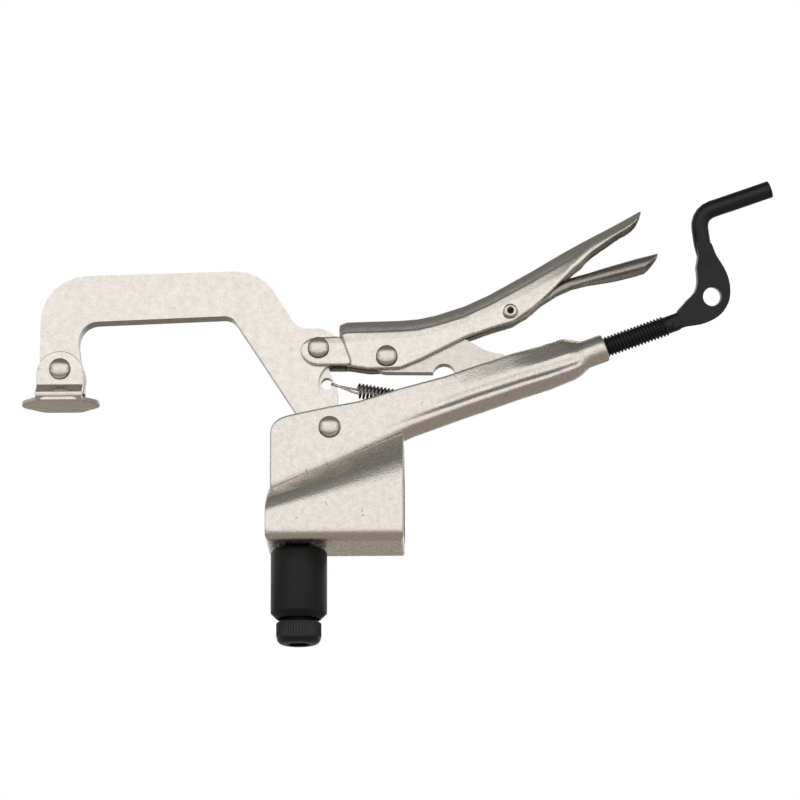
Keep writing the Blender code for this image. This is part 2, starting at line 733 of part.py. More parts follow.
def lever_ear(name, low, high):
    """An ear that ends along a slanting step, just behind the channel's front."""
    lx, lz = jaw_lever_pivot
    (top_x, _), (bottom_x, _) = lever_front
    outline = rounded([
        (lx - ear_radius, lz - ear_radius + 0.3, ear_radius - 0.2),
        (bottom_x + ear_overlap, lz - ear_radius, 1.0), (top_x + ear_overlap, lz + ear_radius + 0.6, 1.0),
        (lx - ear_radius, lz + ear_radius, ear_radius - 0.1),
    ], radians(10))
    return object_from(name, prism(outline, low, high), None)


def trim(body, name, line, outwards):
    """Cut off what lies beyond a line of the XZ plane."""
    reach = outwards * channel_end_reach
    ends = [(line[-1][0] + reach, line[-1][1]), (line[0][0] + reach, line[0][1])]
    return combine(body, hide(object_from(name, prism(list(line) + ends, -20, 20), None)), "DIFFERENCE")


def lever_handle():
    body = object_from("lever_handle", channel(lever_line, lever_outer, lever_wall), nickel("lever"),
                       jaw_lever_pivot)
    trim(body, "lever_front_trim", lever_front, -1)
    trim(body, "lever_tip_trim", lever_tip, 1)
    combine(body, lever_ear("lever_ear_left", -lever_ear_outer, -handle_inner), "UNION")
    combine(body, lever_ear("lever_ear_right", handle_inner, lever_ear_outer), "UNION")
    combine(body, pin_cutter("lever_jaw_hole", jaw_lever_pivot, rivet_shank_radius + bore_gap), "DIFFERENCE")
    combine(body, pin_cutter("lever_link_hole", link_pivot, rivet_shank_radius + bore_gap), "DIFFERENCE")
    combine(body, pin_cutter("lever_release_hole", release_pivot, tube_rivet_radius + bore_gap), "DIFFERENCE")
    return body


def release_lever():
    body = object_from("release_lever", channel(release_line, release_outer, release_wall), nickel("release"),
                       release_pivot)
    trim(body, "release_tip_trim", release_tip, 1)
    combine(body, pin_cutter("release_hole", release_pivot, tube_rivet_radius + bore_gap), "DIFFERENCE")
    return body


# Toggle link: a flat plate from the lever to the tip of the adjusting screw

def link_tail():
    return axis_point(axis_distance(link_tail_x))


def toggle_link():
    cx, cz = link_pivot
    tx, tz = link_tail()
    low = link_tail_radius
    outline = rounded([
        (cx - link_boss_radius, cz - link_boss_radius, link_boss_radius - 0.1), (45.0, 50.6, 1.0),
        (50.0, 46.6, 4.0), (tx - 1.0, tz - low, 2.6), (tx + low, tz - low + 0.6, 2.4),
        (tx + 2.1, tz + 3.4, 2.0), (59.3, 55.6, 1.5), (53.5, 56.8, 6.0), (47.6, 60.4, 1.5),
        (42.0, 60.3, 4.0), (cx + 4.0, cz + link_boss_radius, 6.0),
        (cx - link_boss_radius, cz + link_boss_radius, link_boss_radius - 0.1),
    ])
    half = link_thickness / 2
    body = object_from("toggle_link", prism(outline, -half, half), nickel("link"), link_pivot)
    combine(body, pin_cutter("link_rivet_hole", link_pivot, rivet_shank_radius + bore_gap), "DIFFERENCE")
    combine(body, pin_cutter("link_notch", (41.4, 49.9), 3.3), "DIFFERENCE")
    return body


# Adjusting screw: one forging with a threaded end, a flattened eye and a cranked handle

def round_bar(name, points, radius, sides=2):
    """A round bar along points of the XZ plane."""
    curve = bpy.data.curves.new(name, "CURVE")
    curve.dimensions = "3D"
    curve.bevel_depth = radius * millimetre
    curve.bevel_resolution = sides
    curve.use_fill_caps = True
    spline = curve.splines.new("POLY")
    spline.points.add(len(points) - 1)
    for target, point in zip(spline.points, points):
        target.co = (*(value * millimetre for value in point), 1)
    return curve


def bar_mesh(name, curve, material, place=None):
    """The bar as a mesh object, so that a Boolean can take it."""
    holder = bpy.data.objects.new(name + "_guide", curve)
    bpy.context.scene.collection.objects.link(holder)
    made = bpy.data.meshes.new_from_object(holder)
    bpy.data.objects.remove(holder, do_unlink=True)
    builder = bmesh.new()
    builder.from_mesh(made)
    bpy.data.meshes.remove(made)
    bmesh.ops.remove_doubles(builder, verts=builder.verts, dist=0.000001)
    bmesh.ops.scale(builder, verts=builder.verts, vec=(1 / millimetre,) * 3)
    if place:
        builder.transform(place)
        return object_from(name, builder, material, axis_point(collar_end))
    return object_from(name, builder, material)


def crank_place():
    """From the screw's own frame, X along its axis, to the row's: the crank is turned to one side."""
    return (Matrix.Translation((0, 0, screw_axis_height)) @ Matrix.Rotation(-screw_axis_angle, 4, "Y")
            @ Matrix.Rotation(crank_turn, 4, "X"))


def crank_part(name, builder, material=None):
    builder.transform(crank_place())
    return object_from(name, builder, material, axis_point(collar_end))


def crank_path():
    """The cranked bar, up from the eye and then back along the screw's direction."""
    corners = [(129.0, 10.1, 0), (129.3, 18.2, 10.0), (131.1, 27.1, 5.0), (153.3, 26.8, 0)]
    return [(p.x, 0, p.y) for p in rounded(corners)]


def crank_eye():
    near_side = [(110.1, -2.2), (113.6, -2.2), (117.1, -2.2), (121.1, -3.0), (124.8, -2.9), (128.0, -1.9),
                 (130.7, 0.3), (132.2, 3.0), (133.0, 6.5), (132.8, 10.3), (131.9, 14.3), (131.8, 17.8)]
    far_side = [(127.7, 19.4), (126.9, 15.5), (125.4, 12.8), (124.3, 8.8), (122.5, 6.2), (119.6, 4.8),
                (116.5, 3.1), (113.3, 2.5), (109.9, 2.5)]
    return smooth_line(near_side, 23) + smooth_line(far_side, 17)


def screw_tip_distance():
    return axis_distance(link_tail_x) + link_tail_radius + toggle_gap


def adjusting_screw():
    start, end = screw_tip_distance(), crank_neck_end
    chamfer = screw_chamfer
    profile = [(0, start), (screw_radius - chamfer, start), (screw_radius, start + chamfer),
               (screw_radius, thread_end), (crank_radius, thread_end + chamfer), (crank_radius, end),
               (0, end)]
    body = crank_part("adjusting_screw", lathe(profile, 24, (0, 0, 0), (1, 0, 0)), black_oxide("crank"))
    half = eye_thickness / 2
    combine(body, crank_part("crank_eye", prism(crank_eye(), -half, half)), "UNION")
    bar = bar_mesh("crank_bar", round_bar("crank_bar", crank_path(), crank_radius, 4), None, crank_place())
    combine(body, bar, "UNION")
    hole = lathe(drum(eye_hole_radius, -30, 30), 24, (eye_hole[0], 0, eye_hole[1]), (0, 1, 0))
    combine(body, hide(crank_part("crank_eye_hole", hole)), "DIFFERENCE")
    return body


# Tension spring: hooked through the jaw and on to the handle's tab

def spring_point(distance, offset=0.0):
    """A point at a distance along the spring's axis from its first turn, and an offset above it."""
    x = spring_start_x + distance * cos(spring_slope) - offset * sin(spring_slope)
    z = 45.9 + distance * sin(spring_slope) + offset * cos(spring_slope)
    return x, z


def spring_anchor():
    return spring_point((spring_tab_x - spring_start_x) / cos(spring_slope))


def spring_path():
    coil = spring_radius - wire_radius
    side = jaw_web_thickness / 2 + seat_gap + wire_radius
    hole_x = spring_hole[0] + spring_hole_radius - wire_radius - seat_gap
    hole_z = spring_hole[1]
    points = [(14.6, 0.45, 46.4), (11.6, side * 0.8, 47.2), (10.2, side, hole_z - 0.1),
              (hole_x, side * 0.75, hole_z), (hole_x, 0, hole_z),
              (hole_x, -side * 0.75, hole_z), (10.2, -side, hole_z - 0.1),
              (11.6, -side * 0.8, 47.2), (14.6, -0.45, 46.4)]
    steps = 14
    for k in range(spring_turns * steps + 1):
        angle = 2 * pi * k / steps
        grow = min(1.0, k / steps * 1.6)
        x, z = spring_point(k / steps * spring_pitch, coil * grow * sin(angle))
        points.append((x, -coil * grow * cos(angle), z))
    end = spring_turns * spring_pitch
    clear = spring_tab_width / 2 + seat_gap + wire_radius
    beyond = spring_tab_x + handle_wall + seat_gap + wire_radius + 0.1
    height = spring_anchor()[1]
    side_end = spring_tab_x + handle_wall
    points += [(spring_point(end + 1.0)[0], -clear, spring_point(end + 1.0)[1]), (side_end, -clear, height),
               (beyond, -clear * 0.7, height), (beyond, clear * 0.7, height), (side_end, clear, height),
               (spring_tab_x - 0.9, clear, height)]
    return points


def tension_spring():
    curve = round_bar("tension_spring", spring_path(), wire_radius, 1)
    return bar_mesh("tension_spring", curve, black_oxide("spring"))


def build():
    clear_scene()
    fixed_handle()
    mounting_bracket()
    locating_sleeve()
    cap_screw()
    washer()
    hex_nut()
    jaw_arm()
    swivel_pad()
    rivet("main_rivet", main_pivot, handle_outer)
    rivet("jaw_lever_rivet", jaw_lever_pivot, lever_ear_outer)
    rivet("link_rivet", link_pivot, lever_outer)
    rivet("pad_rivet", pad_pivot, pad_ear_outer)
    tube_rivet()
    lever_handle()
    release_lever()
    toggle_link()
    adjusting_screw()
    tension_spring()


build()
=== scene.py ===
# Locking clamp for a welding table: the finish of every piece, and the fine forms the CAD leaves out
from math import atan2, cos, hypot, pi, radians, sin, sqrt

import bmesh
import bpy
from mathutils import Matrix, Vector


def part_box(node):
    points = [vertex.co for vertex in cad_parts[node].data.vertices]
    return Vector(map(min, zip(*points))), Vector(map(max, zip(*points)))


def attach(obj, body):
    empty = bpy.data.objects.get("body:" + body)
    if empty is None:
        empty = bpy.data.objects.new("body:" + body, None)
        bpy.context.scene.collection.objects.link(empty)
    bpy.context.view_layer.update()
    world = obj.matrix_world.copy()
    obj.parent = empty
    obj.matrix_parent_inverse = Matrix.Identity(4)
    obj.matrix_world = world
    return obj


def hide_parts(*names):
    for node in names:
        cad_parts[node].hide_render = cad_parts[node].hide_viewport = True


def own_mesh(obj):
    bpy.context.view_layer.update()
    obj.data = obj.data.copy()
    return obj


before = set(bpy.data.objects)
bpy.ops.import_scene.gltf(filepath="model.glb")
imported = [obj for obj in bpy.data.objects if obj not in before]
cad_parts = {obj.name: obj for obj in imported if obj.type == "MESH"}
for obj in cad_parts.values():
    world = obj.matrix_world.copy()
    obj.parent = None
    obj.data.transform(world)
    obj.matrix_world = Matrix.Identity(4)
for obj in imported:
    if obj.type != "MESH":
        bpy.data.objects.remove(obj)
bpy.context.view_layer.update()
print("frame loaded")

mm = 0.001


# small helpers

def clamp(value):
    return min(1.0, max(0.0, value))


def rowAt(line, x):
    # the values of a table of stations at x, between its two nearest rows
    low = max(i for i, row in enumerate(line[:-1]) if i == 0 or row[0] <= x)
    one, two = line[low], line[low + 1]
    share = clamp((x - one[0]) / (two[0] - one[0]))
    return [a + (b - a) * share for a, b in zip(one[1:], two[1:])]


def fromHex(code):
    # sRGB hex to the linear colour a shader wants
    channels = [int(code[i:i + 2], 16) / 255 for i in (1, 3, 5)]
    return tuple(c / 12.92 if c <= 0.04045 else ((c + 0.055) / 1.055) ** 2.4 for c in channels) + (1.0,)


def addNode(tree, kind, settings=None, links=None):
    # settings: socket values, or attributes of the node when they start with a dot
    node = tree.nodes.new(kind)
    for key, value in (settings or {}).items():
        if isinstance(key, str) and key.startswith("."):
            setattr(node, key[1:], value)
        else:
            node.inputs[key].default_value = value
    for key, source in (links or {}).items():
        tree.links.new(source, node.inputs[key])
    return node


def onlySelect(piece):
    bpy.ops.object.select_all(action="DESELECT")
    piece.select_set(True)
    bpy.context.view_layer.objects.active = piece


def applyModifiers(piece):
    onlySelect(piece)
    for modifier in list(piece.modifiers):
        bpy.ops.object.modifier_apply(modifier=modifier.name)


def settle(piece, name, angle=35):
    # the place goes into the mesh, and only real edges stay sharp
    onlySelect(piece)
    bpy.ops.object.transform_apply(location=True, rotation=True, scale=True)
    bpy.ops.object.shade_smooth_by_angle(angle=radians(angle))
    piece.name = name
    piece.data.name = name
    return piece


def dress(piece, body, material, slot, *nodes):
    piece.data.materials.clear()
    piece.data.materials.append(material)
    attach(piece, body)
    if nodes:
        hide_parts(*nodes)
    return piece


def mergedCopy(node, name):
    # a copy of a CAD solid with its loose triangles joined up again
    piece = bpy.data.objects.new(name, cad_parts[node].data.copy())
    bpy.context.scene.collection.objects.link(piece)
    onlySelect(piece)
    bpy.ops.object.mode_set(mode="EDIT")
    bpy.ops.mesh.select_all(action="SELECT")
    bpy.ops.mesh.remove_doubles(threshold=0.000002)
    bpy.ops.object.mode_set(mode="OBJECT")
    return piece


def plateCopy(node, name, width, segments=2, angle=35):
    # a flat plate with its edges broken, as the tumbling drum leaves them; its faces stay flat
    piece = mergedCopy(node, name)
    bpy.ops.object.mode_set(mode="EDIT")
    bpy.ops.mesh.select_all(action="SELECT")
    bpy.ops.mesh.dissolve_limited(angle_limit=radians(0.6))
    bpy.ops.object.mode_set(mode="OBJECT")
    edge = piece.modifiers.new("brokenEdge", "BEVEL")
    edge.width = width * mm
    edge.segments = segments
    edge.limit_method = "ANGLE"
    edge.angle_limit = radians(angle)
    edge.use_clamp_overlap = True
    applyModifiers(piece)
    bpy.ops.object.shade_smooth_by_angle(angle=radians(angle + 10))
    flat = piece.modifiers.new("flatFaces", "WEIGHTED_NORMAL")
    flat.keep_sharp = True
    flat.weight = 100
    applyModifiers(piece)
    return piece


def relaxed(piece, factor, rounds):
    relax = piece.modifiers.new("relax", "SMOOTH")
    relax.factor = factor
    relax.iterations = rounds
    applyModifiers(piece)


def reskinned(piece, voxel, factor, rounds):
    # one even skin over the whole solid, then rounded off
    skin = piece.modifiers.new("skin", "REMESH")
    skin.mode = "VOXEL"
    skin.voxel_size = voxel * mm
    relaxed(piece, factor, rounds)


def pressedCopy(node, name, voxel, rounds):
    # sheet metal as the press leaves it: no sharp edge anywhere, bends that flow into the flats
    piece = mergedCopy(node, name)
    reskinned(piece, voxel, 0.5, rounds)
    bpy.ops.object.shade_smooth()
    return piece


def paintFaces(piece, material, chosen):
    # a second, darker material on the faces that the test chooses; below it carries painted shade
    piece.data.materials.append(material)
    slot = len(piece.data.materials) - 1
    for face in piece.data.polygons:
        if chosen(face):
            face.material_index = slot


def cutEdges(piece, material, across=0.6):
    # the walls of a punched plate get a darker material: rough sheared steel, darkened further as painted shade
    # into a dark outline
    paintFaces(piece, material, lambda face: abs(face.normal.y) < across)


def shadeInside(piece, material, tip=1.0):
    # painted shade on the faces that look in towards the mid-plane, and on the sheet's cut end beyond tip (m along
    # X)
    def chosen(face):
        inwards = face.normal.y * face.center.y < 0 and abs(face.normal.y) > 0.35
        return (inwards and abs(face.center.y) > 0.8 * mm) or (face.center.x > tip and face.normal.x > 0.55)
    paintFaces(piece, material, chosen)


def ringFaces(piece, pivot, material, near, far):
    # faces between two distances from the rivet's axis, mm
    paintFaces(piece, material,
               lambda face: near < hypot(face.center.x / mm - pivot[0], face.center.z / mm - pivot[1]) < far)


# finishes

nickelLook = {
    "bright": "#F8F3EB", "dull": "#F0E8DD", "pit": "#8A7A69",
    "patch": 1.8,       # mm, slow change of tone from the plating bath
    "grain": 0.5,       # mm, tumbled grain, drawn coarser than the real 0.1 mm so that it shows
    "speck": 1.9,       # mm between small pits
}


def platedNickel(name, grainDepth, roughness, tone=1.0, pits=0.5):
    # electroplated nickel on pressed or forged steel: warm white metal, soft gloss, fine tumbled grain; tone
    # darkens the whole colour, which some darker copies below use for painted shade
    look = nickelLook
    material = bpy.data.materials.new(name)
    material.use_nodes = True
    tree = material.node_tree
    shader = tree.nodes["Principled BSDF"]
    place = addNode(tree, "ShaderNodeTexCoord").outputs["Object"]
    patches = addNode(tree, "ShaderNodeTexNoise",
                      {"Scale": 1 / (look["patch"] * mm), "Detail": 5.0, "Roughness": 0.6}, {"Vector": place})
    grain = addNode(tree, "ShaderNodeTexNoise",
                    {"Scale": 1 / (look["grain"] * mm), "Detail": 3.0, "Roughness": 0.62}, {"Vector": place})
    specks = addNode(tree, "ShaderNodeTexNoise",
                     {"Scale": 1 / (look["speck"] * mm), "Detail": 4.0, "Roughness": 0.68}, {"Vector": place})
    tones = addNode(tree, "ShaderNodeMapRange", {"From Min": 0.3, "From Max": 0.7},
                    {"Value": patches.outputs["Fac"]})
    base = addNode(tree, "ShaderNodeMix",
                   {".data_type": "RGBA", 6: fromHex(look["bright"]), 7: fromHex(look["dull"])},
                   {0: tones.outputs[0]})
    pitted = addNode(tree, "ShaderNodeMapRange", {"From Min": 0.64, "From Max": 0.74, "To Max": pits},
                     {"Value": specks.outputs["Fac"]})
    darker = addNode(tree, "ShaderNodeMix", {".data_type": "RGBA", 7: fromHex(look["pit"])},
                     {0: pitted.outputs[0], 6: base.outputs[2]})
    grainTone = addNode(tree, "ShaderNodeMapRange",
                        {"From Min": 0.34, "From Max": 0.66, "To Min": 0.88 * tone, "To Max": 1.03 * tone},
                        {"Value": grain.outputs["Fac"]})
    shaded = addNode(tree, "ShaderNodeVectorMath", {".operation": "SCALE"},
                     {0: darker.outputs[2], "Scale": grainTone.outputs[0]})
    tree.links.new(shaded.outputs[0], shader.inputs["Base Color"])
    gloss = addNode(tree, "ShaderNodeMapRange",
                    {"From Min": 0.35, "From Max": 0.65,
                     "To Min": roughness - 0.04, "To Max": roughness + 0.06},
                    {"Value": patches.outputs["Fac"]})
    tree.links.new(gloss.outputs[0], shader.inputs["Roughness"])
    bump = addNode(tree, "ShaderNodeBump", {"Strength": 1.0, "Distance": grainDepth * mm},
                   {"Height": grain.outputs["Fac"]})
    tree.links.new(bump.outputs[0], shader.inputs["Normal"])
    shader.inputs["Metallic"].default_value = 1.0
    return material


oxideLook = {"patch": 5.0, "grain": 0.45}     # mm, clouds of the blackening bath and machined grain


def blackOxide(name, colour, roughness, grainDepth, sheen):
    # black oxide on machined or forged steel: near black, satin, a dry grey sheen where it faces light
    material = bpy.data.materials.new(name)
    material.use_nodes = True
    tree = material.node_tree
    shader = tree.nodes["Principled BSDF"]
    place = addNode(tree, "ShaderNodeTexCoord").outputs["Object"]
    patches = addNode(tree, "ShaderNodeTexNoise",
                      {"Scale": 1 / (oxideLook["patch"] * mm), "Detail": 4.0}, {"Vector": place})
    grain = addNode(tree, "ShaderNodeTexNoise",
                    {"Scale": 1 / (oxideLook["grain"] * mm), "Detail": 4.0, "Roughness": 0.7}, {"Vector": place})
    tones = addNode(tree, "ShaderNodeMapRange",
                    {"From Min": 0.3, "From Max": 0.7, "To Min": 0.78, "To Max": 1.25},
                    {"Value": patches.outputs["Fac"]})
    shaded = addNode(tree, "ShaderNodeVectorMath", {".operation": "SCALE", 0: fromHex(colour)[:3]},
                     {"Scale": tones.outputs[0]})
    tree.links.new(shaded.outputs[0], shader.inputs["Base Color"])
    gloss = addNode(tree, "ShaderNodeMapRange",
                    {"From Min": 0.3, "From Max": 0.7, "To Min": roughness - 0.06, "To Max": roughness + 0.08},
                    {"Value": grain.outputs["Fac"]})
    tree.links.new(gloss.outputs[0], shader.inputs["Roughness"])
    bump = addNode(tree, "ShaderNodeBump", {"Strength": 1.0, "Distance": grainDepth * mm},
                   {"Height": grain.outputs["Fac"]})
    tree.links.new(bump.outputs[0], shader.inputs["Normal"])
    shader.inputs["Specular IOR Level"].default_value = sheen
    return material


# name, depth of the grain in mm, roughness, tone, share of pits
satinNickel = platedNickel("satinNickelPlate", 0.03, 0.24)                   # flat forged plate: pale, soft grain
blastedNickel = platedNickel("tumbledNickelPlate", 0.10, 0.26, 0.985, 0.75)  # tumbled sheet: coarser grain, pits
drawnNickel = platedNickel("drawnNickelPlate", 0.09, 0.25, 0.985, 0.6)       # drawn sheet: mottled in its darks
plainNickel = platedNickel("linkNickelPlate", 0.06, 0.28, 0.9, 0.7)          # punched link: a little greyer
smoothNickel = platedNickel("smoothNickelPlate", 0.02, 0.24, 1.0, 0.3)       # small parts: smooth and bright
shearedEdgeAndShade = platedNickel("shearedEdgeWithPaintedShade", 0.05, 0.34, 0.55, 0.6)     # sheared edge: rough, and painted shade that draws a dark outline
leverNickel = platedNickel("pressedNickelPlate", 0.05, 0.24, 1.0, 0.5)       # pressed sheet: bright, fine grain
releaseNickel = platedNickel("releasePaintedShadePlate", 0.06, 0.3, 0.5, 0.6)       # painted shade on the release lever under the lever: brown
polishedNickel = platedNickel("polishedNickelHead", 0.03, 0.15, 0.93, 0.4)   # upset head: clear reflections
paintedShadeNickel = platedNickel("paintedShadeInside", 0.05, 0.42, 0.36, 0.6)        # painted shade inside a channel: dull and brown
springWire = platedNickel("oiledSpringWire", 0.004, 0.18, 0.3, 0.2)          # dark drawn wire, a glint on each turn
hookWire = platedNickel("brightHookWire", 0.002, 0.2, 0.9, 0.1)              # the same wire worn bright
# name, colour, roughness, depth of the grain in mm, sheen
blackTurned = blackOxide("blackOxideTurned", "#191919", 0.46, 0.012, 0.34)   # turned steel: dry, even black
blackForged = blackOxide("blackOxideForged", "#1B1A1A", 0.36, 0.010, 0.42)   # forging: black with a soft gloss
blackThread = blackOxide("blackOxideThread", "#121212", 0.28, 0.004, 0.5)    # rolled thread: oily black
print("finishes made")


# the adjusting screw's axis and forging; the handle is shaped round the same axis

crank = {
    "height": 26.55, "slope": 19.8,     # the axis at X = 0, and its rise
    "turn": 13.0,                       # how far the eye's flat is turned down
    "radius": 2.95, "pitch": 1.0, "threadEnd": 111.8, "neck": 2.5, "neckEnd": 115.6,
    "neckSpread": 0.9,                  # how fast the neck widens into the eye
    "voxel": 0.24, "smooth": 5,
    "flat": 2.05, "barHalf": 2.5,       # half thickness of the eye and of the bar
    "flatReach": (113.5, 134.0), "lobe": (12.0, 19.5),   # the flat along the axis, and where it runs out above it
}


# pressed and forged pieces, from merged copies of the solids

jaw = dress(plateCopy("jaw_arm", "jawPlate", 0.4, 3), "jaw", satinNickel, "satin_nickel", "jaw_arm")
link = dress(plateCopy("toggle_link", "linkPlate", 0.3), "link", plainNickel, "satin_nickel", "toggle_link")
dress(plateCopy("hex_nut", "nutHex", 0.12), "base", smoothNickel, "satin_nickel", "hex_nut")
dress(plateCopy("washer", "washerFlat", 0.15), "base", smoothNickel, "satin_nickel", "washer")
dress(pressedCopy("swivel_pad", "padPressing", 0.18, 4), "pad", smoothNickel, "satin_nickel", "swivel_pad")
handle = dress(pressedCopy("fixed_handle", "handleChannel", 0.33, 14),
               "base", drawnNickel, "satin_nickel", "fixed_handle")
bracket = dress(pressedCopy("mounting_bracket", "bracketTrough", 0.35, 10),
                "base", blastedNickel, "satin_nickel", "mounting_bracket")
lever = dress(pressedCopy("lever_handle", "leverChannel", 0.28, 5),
              "lever", leverNickel, "satin_nickel", "lever_handle")
# the release lever gets a darker copy of the plate: painted shade from the lever over it
release = dress(pressedCopy("release_lever", "releaseChannel", 0.22, 5),
                "release", releaseNickel, "satin_nickel", "release_lever")

# painted shade: dark outlines on the walls of the jaw and the link
cutEdges(jaw, shearedEdgeAndShade, 0.85)
cutEdges(link, shearedEdgeAndShade)
columnWall = {"x": (6, 18), "z": (36, 54)}     # mm, the jaw's wall by the hook faces the inside of the clamp and gets painted shade
paintFaces(jaw, paintedShadeNickel, lambda face: face.normal.x > 0.3
           and columnWall["x"][0] * mm < face.center.x < columnWall["x"][1] * mm
           and columnWall["z"][0] * mm < face.center.z < columnWall["z"][1] * mm)


# lever handle: a full crown, and sides that lean in towards the tail

leverBack = [   # x, top, bottom, half width and corner radius of the channel, mm
    (10.2, 64.6, 55.0, 3.8, 1.5), (20.4, 66.2, 51.6, 3.8, 1.7), (34.0, 66.8, 54.0, 3.8, 1.9),
    (47.3, 70.5, 60.7, 3.9, 2.2), (61.0, 77.5, 65.2, 4.0, 2.8), (71.3, 83.5, 73.3, 4.3, 3.6),
    (81.2, 89.2, 83.7, 4.55, 4.3), (99.5, 99.2, 96.0, 3.6, 3.4),
]
leverCrown = {
    "rise": 4.6, "deepest": 0.8, "fuller": 1.1,    # mm, at most this share of the depth, and drawn this much fuller
    "sheet": 1.4,                       # mm, from a point of the inside to the outside over it
    "inset": 0.3, "flank": 0.97,        # mm inside the flank where the half ellipse ends, and its last share
    "pinch": 0.07, "pinchDepth": 3.0,   # the bend starts this far (mm) down the side
    "lean": 0.5, "leanFrom": 50.0, "leanTo": 92.0,
    "relax": 8,
}


def roundBack(piece, line, crown):
    # the channel's back is drawn to half an ellipse
    vertices = piece.data.vertices
    normals = [vertex.normal.copy() for vertex in vertices]   # read first: each later read would renew them all
    for vertex, normal in zip(vertices, normals):
        # a point of the inside moves with the point of the outside that lies over it
        inside = normal.y * vertex.co.y < -0.0001 * abs(vertex.co.y) or normal.z < -0.3
        x, y, z = (value / mm for value in (vertex.co - normal * crown["sheet"] * mm if inside else vertex.co))
        top, bottom, half, corner = rowAt(line, x)
        deep, below = top - bottom, top - z
        rise = min(crown["rise"], crown["deepest"] * deep) * crown["fuller"]
        out = min(abs(y) / (half - crown["inset"]), crown["flank"])
        past = max(0.0, abs(y) - (half - corner)) / corner
        wanted = rise * (1 - sqrt(1 - out * out))
        present = corner * (1 - sqrt(max(0.0, 1 - min(past, 1.0) ** 2)))
        fade = 1.0 if below < corner else max(0.0, 1 - (below - corner) / max(0.1, deep - corner))
        vertex.co.y *= 1 - crown["pinch"] * max(0.0, 1 - max(0.0, below - corner) / crown["pinchDepth"])
        vertex.co.z -= max(0.0, wanted - present) * fade * mm


def leanIn(piece, line, crown):
    # the sides lean in towards the back, more and more on the way to the tail
    for vertex in piece.data.vertices:
        x, z = vertex.co.x / mm, vertex.co.z / mm
        amount = clamp((x - crown["leanFrom"]) / (crown["leanTo"] - crown["leanFrom"])) * crown["lean"]
        top, bottom = rowAt(line, x)[:2]
        vertex.co.y *= 1 - amount * clamp((z - bottom) / (top - bottom))


roundBack(lever, leverBack, leverCrown)
leanIn(lever, leverBack, leverCrown)
relaxed(lever, 0.5, leverCrown["relax"])
# painted shade: the insides of the channels and the cut ends of the levers' tails are darkened
shadeInside(lever, paintedShadeNickel, 92.5 * mm)
shadeInside(release, paintedShadeNickel, 98 * mm)
shadeInside(handle, paintedShadeNickel)
shadeInside(bracket, paintedShadeNickel)


# fixed handle and bracket

handleBand = {      # mm
    "reach": (30, 92), "grow": 25, "end": 6,     # along X, and how it comes and goes
    "groove": 1.0, "amount": 0.13,               # where it starts above the axis, and its slope
    "core": 2,                                   # what lies nearer to the mid-plane stays
}
bracketFold = {     # mm
    "back": (-8.5, 11.1, 5.5, 1.35), "front": (29.9, 23.2, 10.0, 0.78),    # x, height of the fold, flare and lean
    "bend": 1.9, "spread": 0.62,        # half width of the CAD's own bend, and the roll's share of the flare
    "core": 5,                          # what lies nearer to the mid-plane stays
}
bracketCorners = [((-9.1, 0.0), (-7.3, 1.8)), ((29.9, 0.0), (28.7, 1.2))]     # corner and centre of its arc, mm


def leanBand(piece, band):
    # above the groove the outside leans in towards the upper edges
    slope = radians(crank["slope"])
    outside = [vertex.normal.y * vertex.co.y > 0 for vertex in piece.data.vertices]
    for vertex in (v for v, moves in zip(piece.data.vertices, outside) if moves):
        x, z = vertex.co.x / mm, vertex.co.z / mm - crank["height"]
        above = z * cos(slope) - x * sin(slope) - band["groove"]
        grown = clamp((x - band["reach"][0]) / band["grow"]) * clamp((band["reach"][1] - x) / band["end"])
        if above > 0 and grown > 0 and abs(vertex.co.y) > band["core"] * mm:
            vertex.co.y -= band["amount"] * above * grown * mm * (1 if vertex.co.y > 0 else -1)


def roundCorner(piece, corner, centre):
    # what stands beyond a round corner of the XZ plane is drawn in on to it
    radius = abs(centre[0] - corner[0])
    for vertex in piece.data.vertices:
        dx, dz = vertex.co.x / mm - centre[0], vertex.co.z / mm - centre[1]
        beyond = dx * (corner[0] - centre[0]) > 0 and dz * (corner[1] - centre[1]) > 0
        if beyond and hypot(dx, dz) > radius:
            keep = radius / hypot(dx, dz)
            vertex.co.x, vertex.co.z = (centre[0] + dx * keep) * mm, (centre[1] + dz * keep) * mm


def softenFold(piece, fold):
    # the flare starts with a wide roll, not with a crease
    for vertex in piece.data.vertices:
        share = (vertex.co.x / mm - fold["back"][0]) / (fold["front"][0] - fold["back"][0])
        height, flare, lean = (a + (b - a) * share for a, b in zip(fold["back"][1:], fold["front"][1:]))
        wide, bend, past = flare * fold["spread"], fold["bend"], vertex.co.z / mm - height
        if abs(past) < wide and abs(vertex.co.y) > fold["core"] * mm:
            present = (past + bend) ** 2 / (4 * bend) if abs(past) < bend else max(0.0, past)
            shift = lean * ((past + wide) ** 2 / (4 * wide) - present) * mm
            vertex.co.y -= shift * (1 if vertex.co.y > 0 else -1)


softenFold(bracket, bracketFold)
leanBand(handle, handleBand)
for corner, centre in bracketCorners:
    roundCorner(bracket, corner, centre)
print("pressed and forged pieces dressed")


# rivets, turned from a half section and laid across the plates

